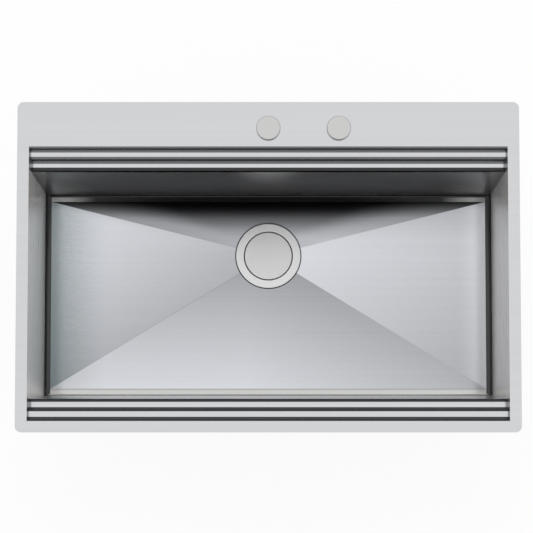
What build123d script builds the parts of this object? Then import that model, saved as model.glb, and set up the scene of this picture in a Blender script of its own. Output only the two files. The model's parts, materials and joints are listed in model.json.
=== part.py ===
"""A single-bowl stainless steel kitchen sink with two-step accessory ledges and a remote-controlled waste.

Millimetres, +Z up, +X to the right, +Y to the rear (the tap ledge). The origin is at the plan centre of the
rim, and z = 0 is the worktop surface that the rim seal lies on.
"""

import os
from math import cos, radians, sin, tan

from build123d import *

os.makedirs("parts", exist_ok=True)

# Sink top
sink_length = 790.0
sink_width = 520.0
sink_corner_r = 10.0
sheet = 1.2
rim_width = 18.5
tap_ledge_width = 71.0
rim_edge_r = 0.5

# Seal under the rim and the worktop cut-out it surrounds
seal_thickness = 1.5
seal_inset = 2.0
rim_overlap = 10.0
cutout_corner_r = 6.0

# Bowl
bowl_depth = 200.0
ledge_drop = 12.0
ledge_pitch = 15.4
lower_ledge_width = 16.2
bend_r = 3.2
brow_bend_r = 4.5
rear_edge_bend_r = 5.4
rear_brow_bend_r = 6.5
end_bend_r = 9.0
weld_lip = 3.0
wall_lean = 3.5
floor_border = 8.0
floor_fall = 3.0

# Waste outlet in the floor
drain_setback = 219.4
recess_r = 56.5
drain_hole_r = 45.0
flange_r = 55.0
flange_thickness = 2.0
flange_seal_thickness = 1.0
cup_r = 41.5
cup_depth = 30.0
cup_wall = 1.2
cover_clearance = 1.5

# Tap ledge pieces
tap_hole_r = 17.5
cap_r = 19.0
cap_height = 6.0
cap_edge_r = 1.4
tap_hole_setback = 42.0
control_x = 111.0
gasket_thickness = 0.8

# Waste control travel
lever_swing = 34.0
lever_reach = 14.0

# Fits
running_clearance = 0.08
easy_clearance = 0.3

# Levels and edges that follow from the dimensions above
half_length = sink_length / 2
half_width = sink_width / 2
tap_hole_y = half_width - tap_hole_setback
drain_y = half_width - drain_setback
deck_bottom = seal_thickness
deck_top = deck_bottom + sheet
open_x = half_length - rim_width
bend_front = rim_width - half_width
bend_rear = half_width - tap_ledge_width
cut_front = bend_front - weld_lip
cut_rear = bend_rear + weld_lip
ledge_1_z = deck_top - ledge_drop
ledge_2_z = ledge_1_z - ledge_drop
floor_z = deck_top - bowl_depth
riser_1_front = bend_front + bend_r
riser_2_front = riser_1_front + ledge_pitch
front_wall_top_y = riser_2_front + lower_ledge_width
riser_1_rear = bend_rear - bend_r
riser_2_rear = riser_1_rear - ledge_pitch
rear_wall_top_y = riser_2_rear - lower_ledge_width
wall_run = (ledge_2_z - floor_z) * tan(radians(wall_lean))
front_wall_foot_y = front_wall_top_y + wall_run
rear_wall_foot_y = rear_wall_top_y - wall_run
foot_bend_run = bend_r * tan(radians(90 - wall_lean) / 2)
floor_x = open_x - end_bend_r
floor_front = front_wall_foot_y + foot_bend_run + floor_border
floor_rear = rear_wall_foot_y - foot_bend_run - floor_border
floor_length = floor_rear - floor_front
recess_z = floor_z - floor_fall - flange_thickness - flange_seal_thickness
recess_under_z = recess_z - sheet
cutout_x = half_length - rim_overlap
cutout_y = half_width - rim_overlap

# The bowl's visible section from the front lip, down the ledges, along the floor and up to the rear lip
bowl_section = [
    (cut_front, deck_top),
    (riser_1_front, deck_top),
    (riser_1_front, ledge_1_z),
    (riser_2_front, ledge_1_z),
    (riser_2_front, ledge_2_z),
    (front_wall_top_y, ledge_2_z),
    (front_wall_foot_y, floor_z),
    (rear_wall_foot_y, floor_z),
    (rear_wall_top_y, ledge_2_z),
    (riser_2_rear, ledge_2_z),
    (riser_2_rear, ledge_1_z),
    (riser_1_rear, ledge_1_z),
    (riser_1_rear, deck_top),
    (cut_rear, deck_top),
]
front_bends = [bend_r, bend_r, bend_r, bend_r, brow_bend_r, bend_r]
rear_bends = [bend_r, rear_brow_bend_r, bend_r, rear_edge_bend_r, bend_r, bend_r]
bowl_bends = front_bends + rear_bends


def space_above_floor(lowered):
    """Corner points of the space above the four-way fall of the floor, lowered by an amount."""
    edge = floor_z - lowered
    corners = [(x, y) for x in (-floor_x, floor_x) for y in (floor_front, floor_rear)]
    apex = (0, drain_y, edge - floor_fall)
    return [(x, y, edge) for x, y in corners] + [(x, y, edge + bowl_depth) for x, y in corners] + [apex]


# Deck: one flat sheet with a square-cornered opening and two tap holes
with BuildPart() as deck_plate:
    with BuildSketch(Plane.XY.offset(deck_bottom)):
        RectangleRounded(sink_length, sink_width, sink_corner_r)
        with Locations((0, (cut_front + cut_rear) / 2)):
            Rectangle(2 * open_x, cut_rear - cut_front, mode=Mode.SUBTRACT)
        with Locations((0, tap_hole_y), (control_x, tap_hole_y)):
            Circle(tap_hole_r, mode=Mode.SUBTRACT)
    extrude(amount=sheet)
    fillet(deck_plate.faces().sort_by(Axis.Z)[-1].outer_wire().edges(), rim_edge_r)
deck_plate.part.label = "deck_plate"
export_step(deck_plate.part, "parts/deck_plate.step")

# Floor: a sheet that falls in four flat facets to the drain, with a flat recess for the waste flange
with BuildPart() as floor_sheet:
    ConvexPolyhedron(space_above_floor(sheet))
    with Locations((0, drain_y, recess_under_z)):
        Cylinder(recess_r + sheet, floor_z - recess_under_z, align=(Align.CENTER, Align.CENTER, Align.MIN))
    ConvexPolyhedron(space_above_floor(0), mode=Mode.SUBTRACT)
    with Locations((0, drain_y, recess_z)):
        Cylinder(recess_r, bowl_depth, align=(Align.CENTER, Align.CENTER, Align.MIN), mode=Mode.SUBTRACT)
    with Locations((0, drain_y, recess_under_z - 1)):
        Cylinder(drain_hole_r, bowl_depth, align=(Align.CENTER, Align.CENTER, Align.MIN), mode=Mode.SUBTRACT)

# End walls: flat panels cut to the wrap's section, with a bottom bend set in between its walls
panel_foot_z = floor_z - 2 * sheet
lean_slope = tan(radians(wall_lean))
front_line_y = front_wall_top_y + (ledge_2_z - panel_foot_z) * lean_slope
rear_line_y = rear_wall_top_y - (ledge_2_z - panel_foot_z) * lean_slope
with BuildPart() as right_end_wall:
    with BuildSketch(Plane.XZ):
        with BuildLine():
            panel = Line((open_x, deck_bottom), (open_x, floor_z + end_bend_r))
            TangentArc(panel @ 1, (floor_x, floor_z), tangent=panel % 1)
            offset(amount=sheet, side=Side.LEFT)
        make_face()
    extrude(amount=half_width, both=True)
    with BuildSketch(Plane.YZ.offset(floor_x - 1)):
        with BuildLine():
            FilletPolyline(*bowl_section, radius=bowl_bends)
            offset(amount=sheet, side=Side.RIGHT)
        make_face()
        with BuildLine():
            FilletPolyline(*bowl_section, radius=bowl_bends)
            Polyline(
                (cut_rear, deck_top),
                (cut_rear, deck_top + weld_lip),
                (cut_front, deck_top + weld_lip),
                (cut_front, deck_top),
            )
        make_face()
    extrude(amount=3 * end_bend_r, mode=Mode.INTERSECT)
    with BuildSketch(Plane.YZ.offset(floor_x - 1)):
        for line_y, top_y, edge_y in (
            (front_line_y, front_wall_top_y, -half_width),
            (rear_line_y, rear_wall_top_y, half_width),
        ):
            with BuildLine():
                Polyline(
                    (line_y, panel_foot_z),
                    (top_y, ledge_2_z),
                    (edge_y, ledge_2_z),
                    (edge_y, panel_foot_z),
                    close=True,
                )
            make_face()
    extrude(amount=end_bend_r + 1, mode=Mode.SUBTRACT)
right_end_wall.part.label = "right_end_wall"
export_step(right_end_wall.part, "parts/right_end_wall.step")

with BuildPart() as left_end_wall:
    mirror(right_end_wall.part, about=Plane.YZ)
left_end_wall.part.label = "left_end_wall"
export_step(left_end_wall.part, "parts/left_end_wall.step")

# Bowl wrap: front ledges, front wall, floor, rear wall and rear ledges, folded from one sheet
with BuildPart() as bowl_wrap:
    with BuildSketch(Plane.YZ):
        with BuildLine():
            FilletPolyline(*bowl_section, radius=bowl_bends)
            offset(amount=sheet, side=Side.RIGHT)
        make_face()
    extrude(amount=open_x, both=True)
    with BuildSketch(Plane.XZ):
        with BuildLine():
            FilletPolyline(
                (-open_x - sheet, deck_top),
                (-open_x - sheet, floor_z - sheet),
                (open_x + sheet, floor_z - sheet),
                (open_x + sheet, deck_top),
                radius=end_bend_r + sheet,
            )
            Line((open_x + sheet, deck_top), (-open_x - sheet, deck_top))
        make_face()
    extrude(amount=half_width, both=True, mode=Mode.INTERSECT)
    with Locations((0, (floor_front + floor_rear) / 2, floor_z)):
        Box(2 * floor_x, floor_length, 6 * sheet, mode=Mode.SUBTRACT)
    add(floor_sheet.part)
    add(right_end_wall.part, mode=Mode.SUBTRACT)
    add(left_end_wall.part, mode=Mode.SUBTRACT)
bowl_wrap.part.label = "bowl_wrap"
export_step(bowl_wrap.part, "parts/bowl_wrap.step")

# Rim seal: a soft strip between the rim and the worktop, all round the cut-out
with BuildPart() as rim_seal:
    with BuildSketch(Plane.XY):
        RectangleRounded(
            sink_length - 2 * seal_inset,
            sink_width - 2 * seal_inset,
            sink_corner_r - seal_inset,
        )
        RectangleRounded(2 * cutout_x, 2 * cutout_y, cutout_corner_r, mode=Mode.SUBTRACT)
    extrude(amount=seal_thickness)
rim_seal.part.label = "rim_seal"
export_step(rim_seal.part, "parts/rim_seal.step")

# Tap ledge stiffener: a channel welded under the two tap holes
stiffener_front = cut_rear + 2.0
stiffener_rear = cutout_y - 3.0
stiffener_sheet = 1.5
stiffener_flange = 10.0
stiffener_left = -60.0
stiffener_right = control_x - stiffener_left
with BuildPart() as tap_ledge_stiffener:
    with BuildSketch(Plane.YZ.offset(stiffener_left)):
        with BuildLine():
            FilletPolyline(
                (stiffener_front, deck_bottom - stiffener_flange),
                (stiffener_front, deck_bottom),
                (stiffener_rear, deck_bottom),
                (stiffener_rear, deck_bottom - stiffener_flange),
                radius=2.5,
            )
            offset(amount=stiffener_sheet, side=Side.RIGHT)
        make_face()
    extrude(amount=stiffener_right - stiffener_left)
    with Locations((0, tap_hole_y), (control_x, tap_hole_y)):
        Cylinder(tap_hole_r, 4 * stiffener_flange, mode=Mode.SUBTRACT)
tap_ledge_stiffener.part.label = "tap_ledge_stiffener"
export_step(tap_ledge_stiffener.part, "parts/tap_ledge_stiffener.step")
plate_under_z = deck_bottom - stiffener_sheet

# Fixings along the cut-out edge: slotted brackets welded under the rim, hooked clips and clamping screws
fixing_width = 24.0
clip_width = 14.0
clip_sheet = 1.5
bracket_sheet = 1.2
edge_gap = 1.5
bracket_drop = 20.0
slot_z = -10.0
clip_drop = 50.0
clip_foot = 13.0
screw_r = 2.5
screw_length = 22.0
side_ys = (-140.0, 100.0)
front_xs = (-280.0, 0.0, 280.0)
rear_xs = (-320.0, -130.0, 260.0)
fixing_places = [Location((cutout_x, y, 0), (0, 0, 0)) for y in side_ys]
fixing_places += [Location((-cutout_x, y, 0), (0, 0, 180)) for y in side_ys]
fixing_places += [Location((x, -cutout_y, 0), (0, 0, -90)) for x in front_xs]
fixing_places += [Location((x, cutout_y, 0), (0, 0, 90)) for x in rear_xs]
bracket_back = -edge_gap - bracket_sheet
clip_back = bracket_back - 0.5 - clip_sheet

with BuildPart() as bracket_piece:
    with BuildSketch(Plane.YZ.offset(bracket_back)):
        with Locations((0, deck_bottom - bracket_drop / 2)):
            RectangleRounded(fixing_width, bracket_drop, 1.5)
        with Locations((0, deck_bottom - 2.0)):
            Rectangle(fixing_width, 4.0)
        with Locations((0, slot_z)):
            SlotOverall(clip_width + 4, 4.0, mode=Mode.SUBTRACT)
    extrude(amount=bracket_sheet)

with BuildPart() as clip_piece:
    with BuildSketch(Plane.XZ):
        with BuildLine():
            FilletPolyline(
                (clip_back, slot_z + 4.0),
                (clip_back, -clip_drop),
                (clip_back + clip_foot, -clip_drop),
                radius=2.0,
            )
            offset(amount=clip_sheet, side=Side.LEFT)
        make_face()
        with Locations((clip_back + 2.5, slot_z)):
            Rectangle(5.0, clip_sheet)
    extrude(amount=clip_width / 2, both=True)
    with Locations((clip_back + clip_foot - 5, 0, -clip_drop)):
        Cylinder(screw_r + easy_clearance, 4 * clip_sheet, mode=Mode.SUBTRACT)

with BuildPart() as screw_piece:
    with Locations((clip_back + clip_foot - 5, 0, -clip_drop - clip_sheet - 9)):
        Cylinder(screw_r, screw_length, align=(Align.CENTER, Align.CENTER, Align.MIN))
        Cylinder(4.2, 3.2, align=(Align.CENTER, Align.CENTER, Align.MIN))
        Box(7.0, 1.0, 1.6, align=(Align.CENTER, Align.CENTER, Align.MIN), mode=Mode.SUBTRACT)

with BuildPart() as fixing_brackets:
    with Locations(*fixing_places):
        add(bracket_piece.part)
fixing_brackets.part.label = "fixing_brackets"
export_step(fixing_brackets.part, "parts/fixing_brackets.step")

with BuildPart() as fixing_clips:
    with Locations(*fixing_places):
        add(clip_piece.part)
fixing_clips.part.label = "fixing_clips"
export_step(fixing_clips.part, "parts/fixing_clips.step")

with BuildPart() as fixing_screws:
    with Locations(*fixing_places):
        add(screw_piece.part)
fixing_screws.part.label = "fixing_screws"
export_step(fixing_screws.part, "parts/fixing_screws.step")

# Sound pads: slabs of damping rubber glued under three of the floor's facets
pad_thickness = 3.0
end_pad_length = 150.0
end_pad_width = 170.0
end_pad_x = 225.0
front_pad_length = 200.0
front_pad_width = 80.0
front_pad_gap = 22.0
with BuildPart() as sound_pads:
    with BuildSketch(Plane.XY.offset(floor_z - 5 * pad_thickness)):
        with Locations((-end_pad_x, drain_y - end_pad_width / 3), (end_pad_x, drain_y - end_pad_width / 3)):
            Rectangle(end_pad_length, end_pad_width)
        with Locations((0, floor_front + front_pad_gap + front_pad_width / 2)):
            Rectangle(front_pad_length, front_pad_width)
    extrude(amount=10 * pad_thickness)
    ConvexPolyhedron(space_above_floor(sheet + pad_thickness), mode=Mode.INTERSECT)
    ConvexPolyhedron(space_above_floor(sheet), mode=Mode.SUBTRACT)
sound_pads.part.label = "sound_pads"
export_step(sound_pads.part, "parts/sound_pads.step")

# Waste, turned about the drain axis
drain_plane = Plane(origin=(0, drain_y, 0), x_dir=(1, 0, 0), z_dir=(0, -1, 0))
drain_axis = Axis((0, drain_y, 0), (0, 0, 1))
flange_under_z = recess_z + flange_seal_thickness
flange_top_z = flange_under_z + flange_thickness
cup_floor_z = flange_top_z - cup_depth
cup_under_z = cup_floor_z - cup_wall
outlet_hole_r = 4.5
outlet_circle_r = 24.0
bolt_r = 6.0
bolt_head_r = 9.5
bolt_head_height = 4.0
pin_r = 3.0
pin_bore_r = pin_r + running_clearance

with BuildPart() as flange_seal:
    with BuildSketch(Plane.XY.offset(recess_z)):
        with Locations((0, drain_y)):
            Circle(recess_r - easy_clearance)
            Circle(drain_hole_r + 1, mode=Mode.SUBTRACT)
    extrude(amount=flange_seal_thickness)
flange_seal.part.label = "flange_seal"
export_step(flange_seal.part, "parts/flange_seal.step")

# Waste flange: a polished ring drawn down into a cup, with a ring of outlet holes in the cup floor
with BuildPart() as waste_flange:
    with BuildSketch(drain_plane):
        with BuildLine():
            FilletPolyline(
                (bolt_r + easy_clearance, cup_floor_z),
                (cup_r, cup_floor_z),
                (cup_r, flange_top_z),
                (flange_r, flange_top_z),
                (flange_r, flange_under_z),
                (cup_r + cup_wall, flange_under_z),
                (cup_r + cup_wall, cup_under_z),
                (bolt_r + easy_clearance, cup_under_z),
                radius=(3.0, 0.9, 0.9, 0, 0, 3.0 + cup_wall),
            )
            Line((bolt_r + easy_clearance, cup_under_z), (bolt_r + easy_clearance, cup_floor_z))
        make_face()
    revolve(axis=drain_axis)
    with Locations((0, drain_y, cup_floor_z)):
        with PolarLocations(outlet_circle_r, 12):
            Cylinder(outlet_hole_r, 6 * cup_wall, mode=Mode.SUBTRACT)
waste_flange.part.label = "waste_flange"
export_step(waste_flange.part, "parts/waste_flange.step")

gasket_under_z = recess_under_z - 2.0
body_flange_r = flange_r + 2.0
body_r = drain_hole_r + 0.5
with BuildPart() as body_gasket:
    with BuildSketch(Plane.XY.offset(gasket_under_z)):
        with Locations((0, drain_y)):
            Circle(body_flange_r - 1)
            Circle(body_r, mode=Mode.SUBTRACT)
    extrude(amount=recess_under_z - gasket_under_z)
body_gasket.part.label = "body_gasket"
export_step(body_gasket.part, "parts/body_gasket.step")

# Waste body: a moulded funnel with a ribbed centre boss and a side boss for the lever shaft
body_wall = 3.0
chamber_r = 30.0
tail_r = 23.9
tail_bore_r = 20.5
tail_length = 28.0
tail_cone = 8.0
boss_r = 10.0
rib_thickness = 3.0
rib_height = 7.0
shaft_r = 3.0
shaft_y = drain_y - lever_reach
lever_drop = 30.0
lever_z = cup_floor_z - lever_drop
finger_r = 2.0
boss_top_z = cup_under_z - 6.5
boss_bottom_z = lever_z + 10.0
side_boss_r = 8.0
side_boss_end = 42.0
spigot_r = 6.0
spigot_end = 48.0
weld_land = 3.0
chamber_top_z = cup_under_z - 13.5
chamber_bottom_z = lever_z - side_boss_r - weld_land
tail_top_z = chamber_bottom_z - tail_cone
tail_end_z = tail_top_z - tail_length
shaft_bore_r = shaft_r + running_clearance
shaft_plane = Plane(origin=(0, shaft_y, lever_z), x_dir=(0, 1, 0), z_dir=(1, 0, 0))
with BuildPart() as waste_body:
    with BuildSketch(drain_plane):
        with BuildLine():
            FilletPolyline(
                (body_r, gasket_under_z),
                (body_flange_r, gasket_under_z),
                (body_flange_r, gasket_under_z - body_wall),
                (body_r + body_wall, gasket_under_z - body_wall),
                (body_r + body_wall, cup_under_z - 2.5),
                (chamber_r + body_wall, chamber_top_z),
                (chamber_r + body_wall, chamber_bottom_z),
                (chamber_r, chamber_bottom_z),
                (chamber_r, chamber_top_z + 1.0),
                (body_r, cup_under_z - 1.5),
                radius=(0, 0.8, 1.2, 5, 5, 3, 0, 0, 3, 3),
                close=True,
            )
        make_face()
    revolve(axis=drain_axis)
    with Locations((0, drain_y, boss_bottom_z)):
        Cylinder(boss_r, boss_top_z - boss_bottom_z, align=(Align.CENTER, Align.CENTER, Align.MIN))
        with PolarLocations((chamber_r + boss_r) / 2, 3, start_angle=90):
            Box(
                chamber_r - boss_r + body_wall,
                rib_thickness,
                rib_height,
                align=(Align.CENTER, Align.CENTER, Align.MIN),
            )
    with BuildSketch(shaft_plane.offset(chamber_r - 2.5)):
        Circle(side_boss_r)
    extrude(amount=side_boss_end - chamber_r + 2.5)
    with BuildSketch(shaft_plane.offset(side_boss_end)):
        Circle(spigot_r)
    extrude(amount=spigot_end - side_boss_end)
    with BuildSketch(shaft_plane.offset(boss_r)):
        Circle(shaft_bore_r)
    extrude(amount=spigot_end, mode=Mode.SUBTRACT)
    with Locations((0, drain_y, boss_bottom_z)):
        Cylinder(bolt_r + easy_clearance, 4 * (boss_top_z - boss_bottom_z), mode=Mode.SUBTRACT)
waste_body.part.label = "waste_body"
export_step(waste_body.part, "parts/waste_body.step")

# Outlet tail: the lower moulding, welded to the foot of the body, a cone that ends in a 1 1/2 inch tail
with BuildPart() as outlet_tail:
    with BuildSketch(drain_plane):
        with BuildLine():
            FilletPolyline(
                (chamber_r, chamber_bottom_z),
                (chamber_r + body_wall, chamber_bottom_z),
                (chamber_r + body_wall, chamber_bottom_z - 2.0),
                (tail_r, tail_top_z),
                (tail_r, tail_end_z),
                (tail_bore_r, tail_end_z),
                (tail_bore_r, tail_top_z + 1.5),
                (chamber_r, chamber_bottom_z - 1.0),
                radius=(0, 0, 1.5, 2, 0, 0, 2, 0),
                close=True,
            )
        make_face()
    revolve(axis=drain_axis)
outlet_tail.part.label = "outlet_tail"
export_step(outlet_tail.part, "parts/outlet_tail.step")

# Clamp bolt: hollow, draws the body up to the flange and guides the lift pin
with BuildPart() as clamp_bolt:
    with BuildSketch(drain_plane):
        with BuildLine():
            FilletPolyline(
                (pin_bore_r, cup_floor_z + bolt_head_height),
                (bolt_head_r, cup_floor_z + bolt_head_height),
                (bolt_head_r, cup_floor_z),
                (bolt_r, cup_floor_z),
                (bolt_r, boss_bottom_z + 1.0),
                (pin_bore_r, boss_bottom_z + 1.0),
                radius=(0, 1.5, 0, 0, 0.6, 0),
                close=True,
            )
        make_face()
    revolve(axis=drain_axis)
    with Locations((0, drain_y, cup_floor_z + bolt_head_height)):
        Box(2 * bolt_head_r, 1.6, 3.0, mode=Mode.SUBTRACT)
clamp_bolt.part.label = "clamp_bolt"
export_step(clamp_bolt.part, "parts/clamp_bolt.step")

# Strainer: flat cover, stem, slotted basket and plug seal, lifted as one by the pin
cover_r = cup_r - cover_clearance
cover_thickness = 1.5
cover_top_z = flange_top_z - 0.3
cover_under_z = cover_top_z - cover_thickness
basket_wall = 1.0
basket_top_z = cover_under_z - 4.0
basket_floor_z = cup_floor_z + easy_clearance + 2.7
hub_r = bolt_head_r + 2.5
hub_top_z = basket_floor_z + 8.0
stem_r = 4.0
with BuildPart() as strainer_cap:
    with BuildSketch(drain_plane):
        with BuildLine():
            FilletPolyline(
                (0, cover_top_z),
                (cover_r, cover_top_z),
                (cover_r, cover_under_z - 1.5),
                (cover_r - 1.2, cover_under_z - 1.5),
                (cover_r - 1.2, cover_under_z),
                (0, cover_under_z),
                radius=(0, 1.2, 0, 0, 0, 0),
                close=True,
            )
        make_face()
    revolve(axis=drain_axis)
strainer_cap.part.label = "strainer_cap"
export_step(strainer_cap.part, "parts/strainer_cap.step")

with BuildPart() as strainer_stem:
    with Locations((0, drain_y, hub_top_z)):
        Cylinder(stem_r, cover_under_z - hub_top_z, align=(Align.CENTER, Align.CENTER, Align.MIN))
        Cylinder(stem_r + 2.5, 2.0, align=(Align.CENTER, Align.CENTER, Align.MIN))
strainer_stem.part.label = "strainer_stem"
export_step(strainer_stem.part, "parts/strainer_stem.step")

with BuildPart() as strainer_basket:
    with BuildSketch(drain_plane):
        with BuildLine():
            FilletPolyline(
                (0, hub_top_z),
                (hub_r, hub_top_z),
                (hub_r, basket_floor_z + basket_wall),
                (cover_r - 5, basket_floor_z + basket_wall),
                (cover_r - 2, basket_top_z),
                radius=(2.0, 2.0, 4.0),
            )
            offset(amount=basket_wall, side=Side.RIGHT)
        make_face()
        with Locations((-hub_r / 2, hub_top_z)):
            Rectangle(hub_r, 4 * basket_wall, mode=Mode.SUBTRACT)
    revolve(axis=drain_axis)
    with Locations((0, drain_y, (basket_top_z + basket_floor_z) / 2)):
        with PolarLocations(cover_r - 3, 24):
            Box(10, 3.2, 10, mode=Mode.SUBTRACT)
strainer_basket.part.label = "strainer_basket"
export_step(strainer_basket.part, "parts/strainer_basket.step")

with BuildPart() as plug_seal:
    with BuildSketch(Plane.XY.offset(cup_floor_z + easy_clearance)):
        with Locations((0, drain_y)):
            Circle(outlet_circle_r + 9)
            Circle(outlet_circle_r - 9, mode=Mode.SUBTRACT)
    extrude(amount=basket_floor_z - cup_floor_z - easy_clearance)
plug_seal.part.label = "plug_seal"
export_step(plug_seal.part, "parts/plug_seal.step")

# Lift pin: slides in the bolt, its ball end rides on the lever finger and its top meets the basket hub
half_swing = radians(lever_swing / 2)
pin_seat = (pin_r + finger_r + easy_clearance + 0.1) / cos(half_swing)
pin_ball_z = lever_z - lever_reach * tan(half_swing) + pin_seat
pin_top_z = hub_top_z - basket_wall - easy_clearance
with BuildPart() as lift_pin:
    with Locations((0, drain_y, pin_ball_z)):
        Cylinder(pin_r, pin_top_z - pin_ball_z, align=(Align.CENTER, Align.CENTER, Align.MIN))
        Sphere(pin_r)
lift_pin.part.label = "lift_pin"
export_step(lift_pin.part, "parts/lift_pin.step")

# Lift lever: a cross shaft with a finger under the pin, drawn in its lowest position
shaft_end = spigot_end + 8.0
finger_plane = Plane(
    origin=(0, shaft_y, lever_z), x_dir=(1, 0, 0), z_dir=(0, cos(half_swing), -sin(half_swing))
)
with BuildPart() as lift_lever:
    with BuildSketch(shaft_plane.offset(-6)):
        Circle(shaft_r)
    extrude(amount=shaft_end + 6)
    with BuildSketch(finger_plane):
        Circle(finger_r)
    extrude(amount=lever_reach + 2.5)
    fillet(lift_lever.edges().filter_by(GeomType.CIRCLE).sort_by(Axis.Y)[-1], 0.8)
lift_lever.part.label = "lift_lever"
export_step(lift_lever.part, "parts/lift_lever.step")

# Lever arm: pushed on the outer end of the shaft, with an eye for the cable end
arm_length = 24.0
arm_thickness = 3.0
arm_x = shaft_end - 1.0 - arm_thickness
arm_plane = Plane(
    origin=(arm_x, shaft_y, lever_z), x_dir=(0, sin(-half_swing), -cos(half_swing)), z_dir=(1, 0, 0)
)
with BuildPart() as lever_arm:
    with BuildSketch(arm_plane):
        with Locations((arm_length / 2, 0)):
            SlotCenterToCenter(arm_length, 9.0)
        Circle(6.0)
        Circle(shaft_r + running_clearance, mode=Mode.SUBTRACT)
        with Locations((arm_length, 0)):
            Circle(1.6, mode=Mode.SUBTRACT)
    extrude(amount=arm_thickness)
lever_arm.part.label = "lever_arm"
export_step(lever_arm.part, "parts/lever_arm.step")

# Cable bracket: clamped on the side boss by the shaft gland, with a folded tab for the cable end stop
bracket_plate = 2.0
tab_y = -40.0
tab_z = -arm_length * cos(half_swing)
with BuildPart() as cable_bracket:
    with BuildSketch(shaft_plane.offset(side_boss_end)):
        Circle(11.0)
        with BuildLine():
            Polyline((-11, 0), (-1, -11), (tab_y, tab_z - 8), (tab_y, tab_z + 8), close=True)
        make_face()
        Circle(spigot_r + easy_clearance, mode=Mode.SUBTRACT)
    extrude(amount=bracket_plate)
    with Locations((side_boss_end, shaft_y + tab_y, lever_z + tab_z)):
        Box(18, bracket_plate, 16, align=(Align.MIN, Align.MIN, Align.CENTER))
    with BuildSketch(Plane.XZ.offset(-shaft_y - tab_y - 5)):
        with Locations((arm_x + arm_thickness / 2, lever_z + tab_z)):
            Circle(3.0)
    extrude(amount=10, mode=Mode.SUBTRACT)
cable_bracket.part.label = "cable_bracket"
export_step(cable_bracket.part, "parts/cable_bracket.step")

with BuildPart() as cable_stop:
    with BuildSketch(Plane.XZ.offset(-shaft_y - tab_y - bracket_plate)):
        with Locations((arm_x + arm_thickness / 2, lever_z + tab_z)):
            Circle(3.0 - 0.2)
            Circle(1.2, mode=Mode.SUBTRACT)
    extrude(amount=14)
    with BuildSketch(Plane.XZ.offset(-shaft_y - tab_y)):
        with Locations((arm_x + arm_thickness / 2, lever_z + tab_z)):
            RegularPolygon(4.6, 6)
            Circle(2.0, mode=Mode.SUBTRACT)
    extrude(amount=4)
cable_stop.part.label = "cable_stop"
export_step(cable_stop.part, "parts/cable_stop.step")

# Shaft gland: a nut on the side boss that closes round the shaft
with BuildPart() as shaft_gland:
    with BuildSketch(shaft_plane.offset(side_boss_end + bracket_plate)):
        RegularPolygon(9.0, 6)
        Circle(spigot_r + easy_clearance, mode=Mode.SUBTRACT)
    extrude(amount=spigot_end - side_boss_end - bracket_plate + 0.4)
    with BuildSketch(shaft_plane.offset(spigot_end + 0.4)):
        Circle(7.8)
        Circle(shaft_r + easy_clearance + 0.1, mode=Mode.SUBTRACT)
    extrude(amount=1.6)
shaft_gland.part.label = "shaft_gland"
export_step(shaft_gland.part, "parts/shaft_gland.step")

# Waste control on the tap ledge: neck, gasket, nut, spindle and knob, turned about the second tap hole
control_plane = Plane(origin=(control_x, tap_hole_y, 0), x_dir=(1, 0, 0), z_dir=(0, -1, 0))
control_axis = Axis((control_x, tap_hole_y, 0), (0, 0, 1))
neck_r = 15.5
neck_flange_r = 17.6
neck_flange_thickness = 1.0
neck_end_z = -21.0
spindle_r = 5.0
spindle_bore_r = spindle_r + running_clearance
neck_top_z = deck_top + gasket_thickness + neck_flange_thickness
knob_under_z = deck_top + 0.5
knob_top_z = deck_top + cap_height
knob_web_z = neck_top_z + 0.6
with BuildPart() as control_gasket:
    with BuildSketch(Plane.XY.offset(deck_top)):
        with Locations((control_x, tap_hole_y)):
            Circle(neck_flange_r)
            Circle(neck_r + easy_clearance, mode=Mode.SUBTRACT)
    extrude(amount=gasket_thickness)
control_gasket.part.label = "control_gasket"
export_step(control_gasket.part, "parts/control_gasket.step")

with BuildPart() as control_neck:
    with BuildSketch(control_plane):
        with BuildLine():
            Polyline(
                (spindle_bore_r, neck_top_z),
                (neck_flange_r, neck_top_z),
                (neck_flange_r, neck_top_z - neck_flange_thickness),
                (neck_r, neck_top_z - neck_flange_thickness),
                (neck_r, neck_end_z),
                (neck_r - 3, neck_end_z),
                (neck_r - 3, deck_bottom - 6),
                (spindle_bore_r, deck_bottom - 6),
                close=True,
            )
        make_face()
    revolve(axis=control_axis)
control_neck.part.label = "control_neck"
export_step(control_neck.part, "parts/control_neck.step")

with BuildPart() as control_nut:
    with BuildSketch(Plane.XY.offset(plate_under_z - 7)):
        with Locations((control_x, tap_hole_y)):
            RegularPolygon(20.0, 6, major_radius=False)
            Circle(neck_r + easy_clearance, mode=Mode.SUBTRACT)
    extrude(amount=7)
control_nut.part.label = "control_nut"
export_step(control_nut.part, "parts/control_nut.step")

with BuildPart() as control_knob:
    with BuildSketch(control_plane):
        with BuildLine():
            FilletPolyline(
                (0, knob_top_z),
                (cap_r, knob_top_z),
                (cap_r, knob_under_z),
                (neck_flange_r + 0.6, knob_under_z),
                (neck_flange_r + 0.6, knob_web_z),
                (spindle_r, knob_web_z),
                (spindle_r, knob_top_z - 2.0),
                (0, knob_top_z - 2.0),
                radius=(0, cap_edge_r, 0.3, 0, 0, 0, 0, 0),
                close=True,
            )
        make_face()
    revolve(axis=control_axis)
control_knob.part.label = "control_knob"
export_step(control_knob.part, "parts/control_knob.step")

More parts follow.
